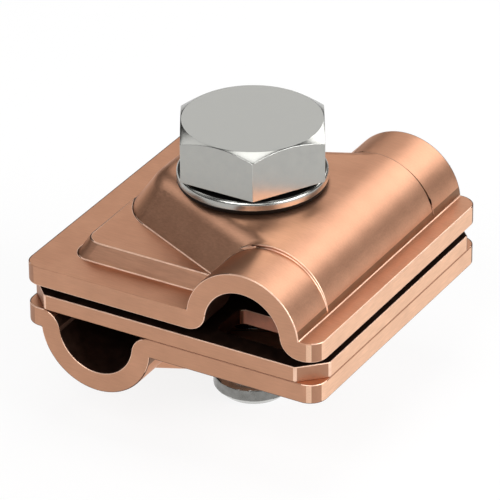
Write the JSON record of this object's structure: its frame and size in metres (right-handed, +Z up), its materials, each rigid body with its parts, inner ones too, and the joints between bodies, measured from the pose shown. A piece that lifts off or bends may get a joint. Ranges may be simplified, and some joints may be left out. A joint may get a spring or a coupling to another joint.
{
  "type": "round conductor connector",
  "caption": "Bolted copper clamp for joining round conductors of 8 to 10 mm side by side or crossing, with a flat plate between its formed plates.",
  "frame": {"origin": "on the axis of the conductor in the lower channel, halfway along the channel", "axes": "+Y along the conductor in the lower channel, +Z up along the bolt towards its head, +X from the lower channel towards the bolt"},
  "size_m": [0.04, 0.04, 0.0369],
  "materials": {
    "copper": "brushed",
    "stainless_steel": "satin"
  },
  "bodies": {
    "lower_plate": {"lower_clamp_plate": "copper"},
    "middle_plate": {"intermediate_plate": "copper"},
    "washer": {"spring_washer": "stainless_steel"},
    "bolt": {"hex_bolt": "stainless_steel"},
    "upper_plate": {"upper_clamp_plate": "copper"}
  },
  "joints": [
    {"name": "middle_swivel", "type": "hinge", "parent": "lower_plate", "child": "middle_plate", "pos_m": [0.01, 0, 0.0026], "axis": [0, 0, 1], "continuous": true},
    {"name": "clamp_travel", "type": "slide", "parent": "lower_plate", "child": "washer", "axis": [0, 0, 1], "range_m": [-0.001, 0.0058]},
    {"name": "bolt_turn", "type": "hinge", "parent": "washer", "child": "bolt", "pos_m": [0.01, 0, 0.0141], "axis": [0, 0, 1], "range_deg": [-240.5, 1392.5]},
    {"name": "upper_swivel", "type": "hinge", "parent": "washer", "child": "upper_plate", "pos_m": [0.01, 0, 0.0141], "axis": [0, 0, 1], "continuous": true}
  ],
  "couplings": [
    {"joint": "bolt_turn", "follows": "clamp_travel", "rad_per_m": 4188.8}
  ]
}
